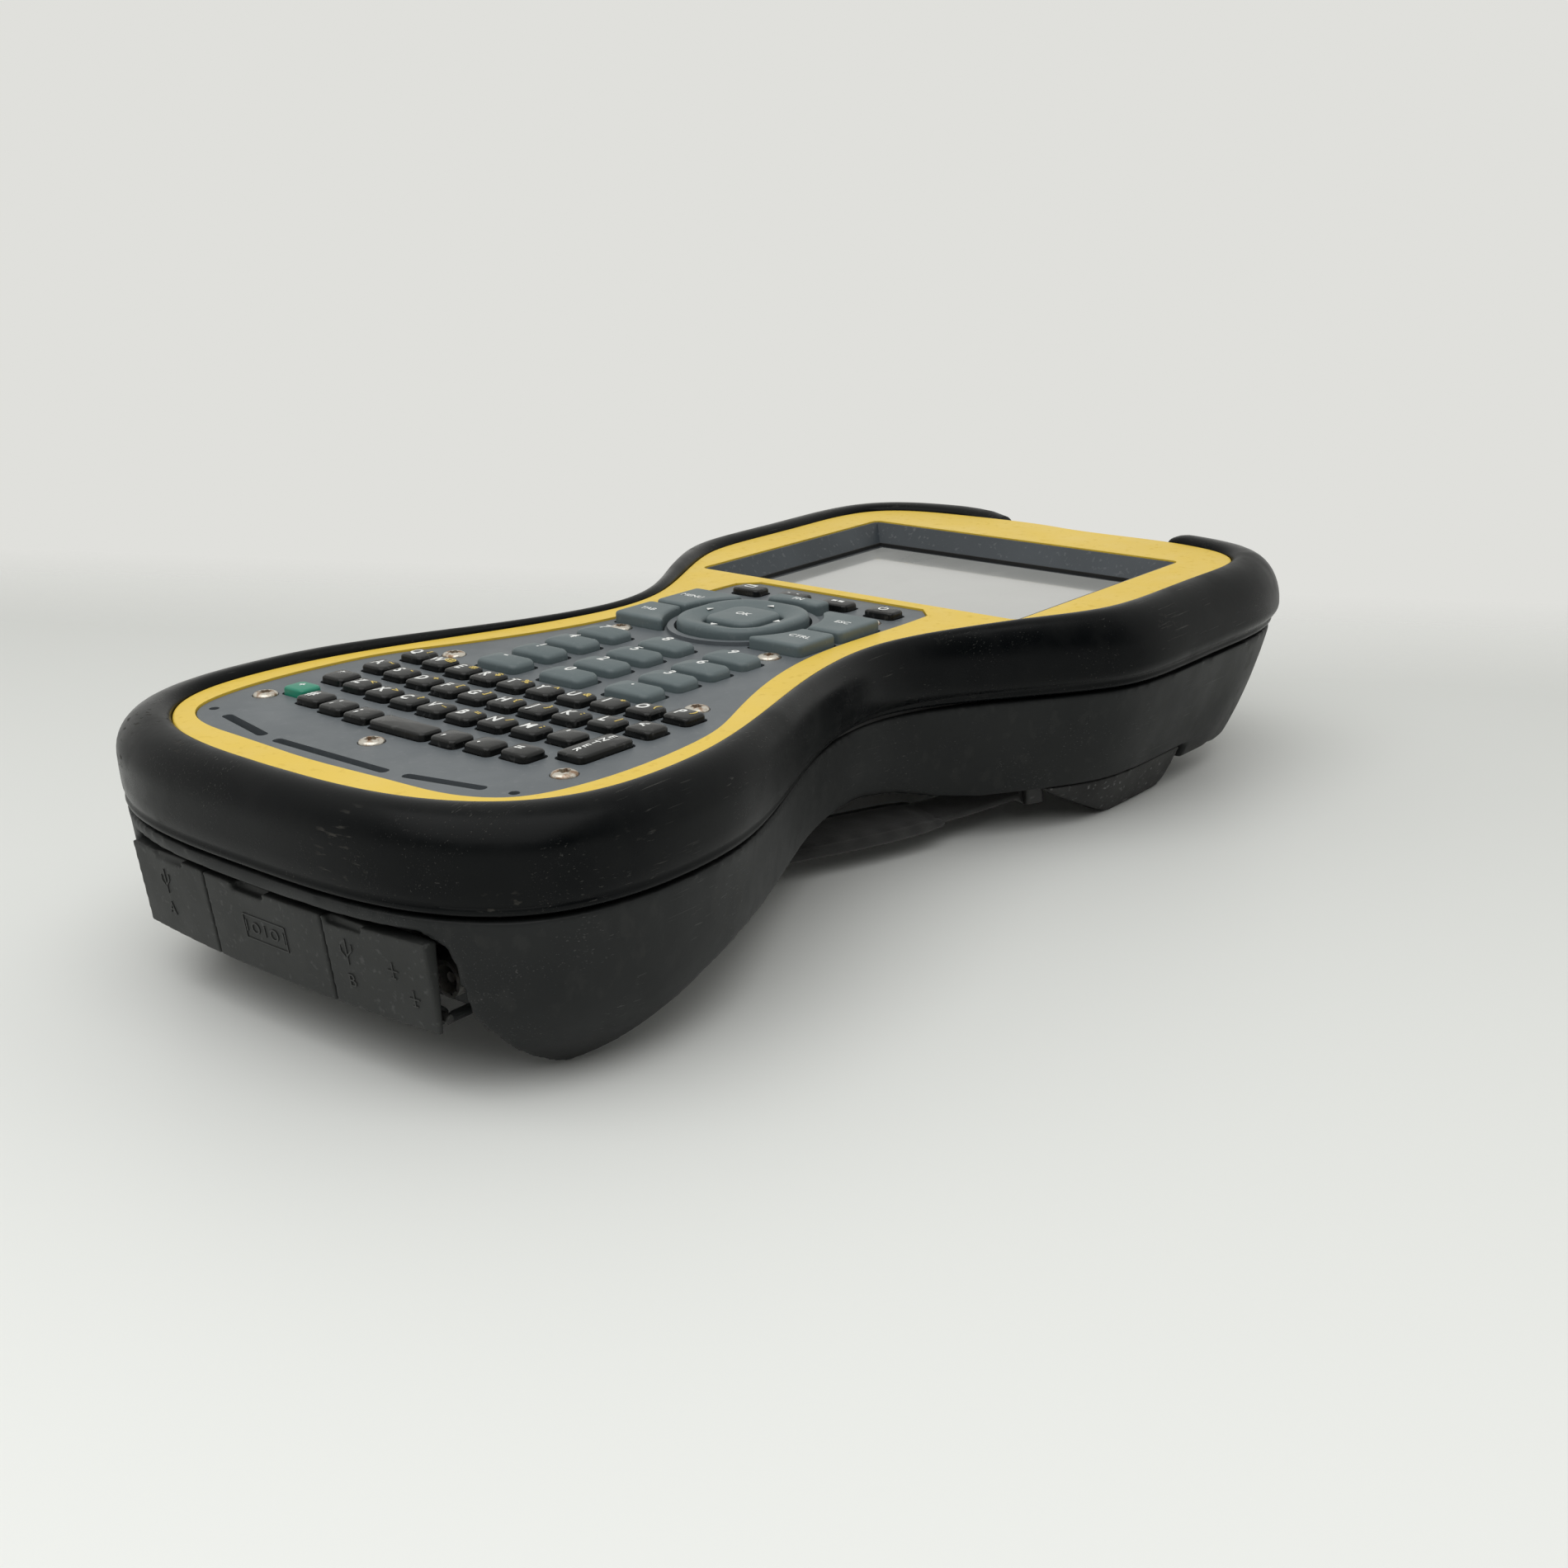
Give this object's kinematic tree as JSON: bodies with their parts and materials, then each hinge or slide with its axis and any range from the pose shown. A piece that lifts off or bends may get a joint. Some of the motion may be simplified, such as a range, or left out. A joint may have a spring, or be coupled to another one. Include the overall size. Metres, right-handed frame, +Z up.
{
  "type": "data collector",
  "caption": "Rugged hourglass handheld field controller with a recessed landscape display, letter and number keypad, rubber bumper and covered ports.",
  "frame": {"origin": "on the table, below the middle of the case", "axes": "+X to the right of the keypad, +Y along the case towards the display end, +Z up out of the keypad face"},
  "size_m": [0.1412, 0.279, 0.053],
  "materials": {
    "yellow_shell": "satin moulded",
    "bumper_rubber": "semi-gloss, scuffed",
    "charcoal_shell": "fine-textured satin",
    "seal_rubber": "matt",
    "cast_frame": "cast",
    "grey_panel": "satin moulded",
    "screen_glass": "clear coated",
    "lcd_panel": "smooth",
    "dark_surround": "satin",
    "circuit_board": "solder-masked",
    "key_mat_rubber": "matt",
    "battery_wrap": "smooth",
    "latch_metal": "satin",
    "foot_rubber": "matt",
    "flap_rubber": "matt moulded",
    "plain_steel": "satin",
    "socket_metal": "satin",
    "black_plastic": "satin",
    "window_glass": "clear dark",
    "screw_steel": "plated, worn",
    "strap_webbing": "woven",
    "letter_key": "satin",
    "green_key": "satin",
    "blue_grey_key": "satin"
  },
  "bodies": {
    "case": {"antenna_cap": "charcoal_shell", "battery_pack": "battery_wrap", "camera_module": "black_plastic", "camera_windows": "window_glass", "case_screws": "screw_steel", "case_seals": "seal_rubber", "display_surround": "dark_surround", "flap_hinge_rod": "plain_steel", "front_bezel": "yellow_shell", "front_bumper": "bumper_rubber", "hand_strap": "strap_webbing", "key_mat": "key_mat_rubber", "keypad_board": "circuit_board", "keypad_panel": "grey_panel", "lcd_module": "lcd_panel", "main_board": "circuit_board", "mid_frame": "cast_frame", "panel_screws": "screw_steel", "port_board": "circuit_board", "port_sockets": "socket_metal", "rear_feet": "foot_rubber", "rear_housing": "charcoal_shell", "speaker": "black_plastic", "strap_bars": "plain_steel", "touch_glass": "screen_glass"},
    "app_key_1": {"app_key_1": "letter_key"},
    "app_key_2": {"app_key_2": "letter_key"},
    "app_key_3": {"app_key_3": "letter_key"},
    "app_key_4": {"app_key_4": "letter_key"},
    "digit_key_0": {"digit_key_0": "blue_grey_key"},
    "digit_key_1": {"digit_key_1": "blue_grey_key"},
    "digit_key_2": {"digit_key_2": "blue_grey_key"},
    "digit_key_3": {"digit_key_3": "blue_grey_key"},
    "digit_key_4": {"digit_key_4": "blue_grey_key"},
    "digit_key_5": {"digit_key_5": "blue_grey_key"},
    "digit_key_6": {"digit_key_6": "blue_grey_key"},
    "digit_key_7": {"digit_key_7": "blue_grey_key"},
    "digit_key_8": {"digit_key_8": "blue_grey_key"},
    "digit_key_9": {"digit_key_9": "blue_grey_key"},
    "digit_key_minus": {"digit_key_minus": "blue_grey_key"},
    "digit_key_point": {"digit_key_point": "blue_grey_key"},
    "enter_key": {"enter_key": "letter_key"},
    "letter_keys_lower": {"letter_keys_lower": "letter_key"},
    "letter_keys_upper": {"letter_keys_upper": "letter_key"},
    "ok_key": {"ok_key": "blue_grey_key"},
    "option_key": {"option_key": "green_key"},
    "side_key_lower_left": {"side_key_lower_left": "blue_grey_key"},
    "side_key_lower_right": {"side_key_lower_right": "blue_grey_key"},
    "side_key_top": {"side_key_top": "blue_grey_key"},
    "side_key_upper_left": {"side_key_upper_left": "blue_grey_key"},
    "side_key_upper_right": {"side_key_upper_right": "blue_grey_key"},
    "space_key": {"space_key": "letter_key"},
    "navigation_pivot": {"navigation_pivot": "black_plastic"},
    "navigation_ring": {"navigation_ring": "blue_grey_key"},
    "port_flap_left": {"port_flap_left": "flap_rubber"},
    "port_flap_centre": {"port_flap_centre": "flap_rubber"},
    "port_flap_right": {"port_flap_right": "flap_rubber"},
    "battery_door": {"battery_door": "charcoal_shell"},
    "door_latch_left": {"door_latch_left": "latch_metal"},
    "door_latch_right": {"door_latch_right": "latch_metal"}
  },
  "joints": [
    {"name": "app_key_1_press", "type": "slide", "parent": "case", "child": "app_key_1", "axis": [0, 0, -1], "range_m": [0, 0.0008], "stiffness_N_per_m": 1500},
    {"name": "app_key_2_press", "type": "slide", "parent": "case", "child": "app_key_2", "axis": [0, 0, -1], "range_m": [0, 0.0008], "stiffness_N_per_m": 1500},
    {"name": "app_key_3_press", "type": "slide", "parent": "case", "child": "app_key_3", "axis": [0, 0, -1], "range_m": [0, 0.0008], "stiffness_N_per_m": 1500},
    {"name": "app_key_4_press", "type": "slide", "parent": "case", "child": "app_key_4", "axis": [0, 0, -1], "range_m": [0, 0.0008], "stiffness_N_per_m": 1500},
    {"name": "digit_key_0_press", "type": "slide", "parent": "case", "child": "digit_key_0", "axis": [0, 0, -1], "range_m": [0, 0.0008], "stiffness_N_per_m": 1500},
    {"name": "digit_key_1_press", "type": "slide", "parent": "case", "child": "digit_key_1", "axis": [0, 0, -1], "range_m": [0, 0.0008], "stiffness_N_per_m": 1500},
    {"name": "digit_key_2_press", "type": "slide", "parent": "case", "child": "digit_key_2", "axis": [0, 0, -1], "range_m": [0, 0.0008], "stiffness_N_per_m": 1500},
    {"name": "digit_key_3_press", "type": "slide", "parent": "case", "child": "digit_key_3", "axis": [0, 0, -1], "range_m": [0, 0.0008], "stiffness_N_per_m": 1500},
    {"name": "digit_key_4_press", "type": "slide", "parent": "case", "child": "digit_key_4", "axis": [0, 0, -1], "range_m": [0, 0.0008], "stiffness_N_per_m": 1500},
    {"name": "digit_key_5_press", "type": "slide", "parent": "case", "child": "digit_key_5", "axis": [0, 0, -1], "range_m": [0, 0.0008], "stiffness_N_per_m": 1500},
    {"name": "digit_key_6_press", "type": "slide", "parent": "case", "child": "digit_key_6", "axis": [0, 0, -1], "range_m": [0, 0.0008], "stiffness_N_per_m": 1500},
    {"name": "digit_key_7_press", "type": "slide", "parent": "case", "child": "digit_key_7", "axis": [0, 0, -1], "range_m": [0, 0.0008], "stiffness_N_per_m": 1500},
    {"name": "digit_key_8_press", "type": "slide", "parent": "case", "child": "digit_key_8", "axis": [0, 0, -1], "range_m": [0, 0.0008], "stiffness_N_per_m": 1500},
    {"name": "digit_key_9_press", "type": "slide", "parent": "case", "child": "digit_key_9", "axis": [0, 0, -1], "range_m": [0, 0.0008], "stiffness_N_per_m": 1500},
    {"name": "digit_key_minus_press", "type": "slide", "parent": "case", "child": "digit_key_minus", "axis": [0, 0, -1], "range_m": [0, 0.0008], "stiffness_N_per_m": 1500},
    {"name": "digit_key_point_press", "type": "slide", "parent": "case", "child": "digit_key_point", "axis": [0, 0, -1], "range_m": [0, 0.0008], "stiffness_N_per_m": 1500},
    {"name": "enter_key_press", "type": "slide", "parent": "case", "child": "enter_key", "axis": [0, 0, -1], "range_m": [0, 0.0008], "stiffness_N_per_m": 1500},
    {"name": "letter_keys_lower_press", "type": "slide", "parent": "case", "child": "letter_keys_lower", "axis": [0, 0, -1], "range_m": [0, 0.0008], "stiffness_N_per_m": 1500},
    {"name": "letter_keys_upper_press", "type": "slide", "parent": "case", "child": "letter_keys_upper", "axis": [0, 0, -1], "range_m": [0, 0.0008], "stiffness_N_per_m": 1500},
    {"name": "ok_key_press", "type": "slide", "parent": "case", "child": "ok_key", "axis": [0, 0, -1], "range_m": [0, 0.0008], "stiffness_N_per_m": 1500},
    {"name": "option_key_press", "type": "slide", "parent": "case", "child": "option_key", "axis": [0, 0, -1], "range_m": [0, 0.0008], "stiffness_N_per_m": 1500},
    {"name": "side_key_lower_left_press", "type": "slide", "parent": "case", "child": "side_key_lower_left", "axis": [0, 0, -1], "range_m": [0, 0.0008], "stiffness_N_per_m": 1500},
    {"name": "side_key_lower_right_press", "type": "slide", "parent": "case", "child": "side_key_lower_right", "axis": [0, 0, -1], "range_m": [0, 0.0008], "stiffness_N_per_m": 1500},
    {"name": "side_key_top_press", "type": "slide", "parent": "case", "child": "side_key_top", "axis": [0, 0, -1], "range_m": [0, 0.0008], "stiffness_N_per_m": 1500},
    {"name": "side_key_upper_left_press", "type": "slide", "parent": "case", "child": "side_key_upper_left", "axis": [0, 0, -1], "range_m": [0, 0.0008], "stiffness_N_per_m": 1500},
    {"name": "side_key_upper_right_press", "type": "slide", "parent": "case", "child": "side_key_upper_right", "axis": [0, 0, -1], "range_m": [0, 0.0008], "stiffness_N_per_m": 1500},
    {"name": "space_key_press", "type": "slide", "parent": "case", "child": "space_key", "axis": [0, 0, -1], "range_m": [0, 0.0008], "stiffness_N_per_m": 1500},
    {"name": "navigation_tilt_fore_aft", "type": "hinge", "parent": "case", "child": "navigation_pivot", "pos_m": [0, -0.0053, 0.0476], "axis": [1, 0, 0], "range_deg": [-2, 2], "stiffness_Nm_per_rad": 0.5},
    {"name": "navigation_tilt_side", "type": "hinge", "parent": "navigation_pivot", "child": "navigation_ring", "pos_m": [0, -0.0053, 0.0476], "axis": [0, 1, 0], "range_deg": [-2, 2], "stiffness_Nm_per_rad": 0.5},
    {"name": "port_flap_left_hinge", "type": "hinge", "parent": "case", "child": "port_flap_left", "pos_m": [0, -0.1308, 0.0144], "axis": [1, 0, 0], "range_deg": [0, 90]},
    {"name": "port_flap_centre_hinge", "type": "hinge", "parent": "case", "child": "port_flap_centre", "pos_m": [0, -0.1308, 0.0144], "axis": [1, 0, 0], "range_deg": [0, 90]},
    {"name": "port_flap_right_hinge", "type": "hinge", "parent": "case", "child": "port_flap_right", "pos_m": [0, -0.1308, 0.0144], "axis": [1, 0, 0], "range_deg": [0, 90]},
    {"name": "battery_door_lift", "type": "slide", "parent": "case", "child": "battery_door", "axis": [0, 0, -1], "range_m": [0, 0.0025]},
    {"name": "door_latch_left_turn", "type": "hinge", "parent": "battery_door", "child": "door_latch_left", "pos_m": [-0.024, 0.0276, 0.0125], "axis": [0, 0, 1], "range_deg": [0, 90]},
    {"name": "door_latch_right_turn", "type": "hinge", "parent": "battery_door", "child": "door_latch_right", "pos_m": [0.024, 0.0276, 0.0125], "axis": [0, 0, -1], "range_deg": [0, 90]}
  ]
}
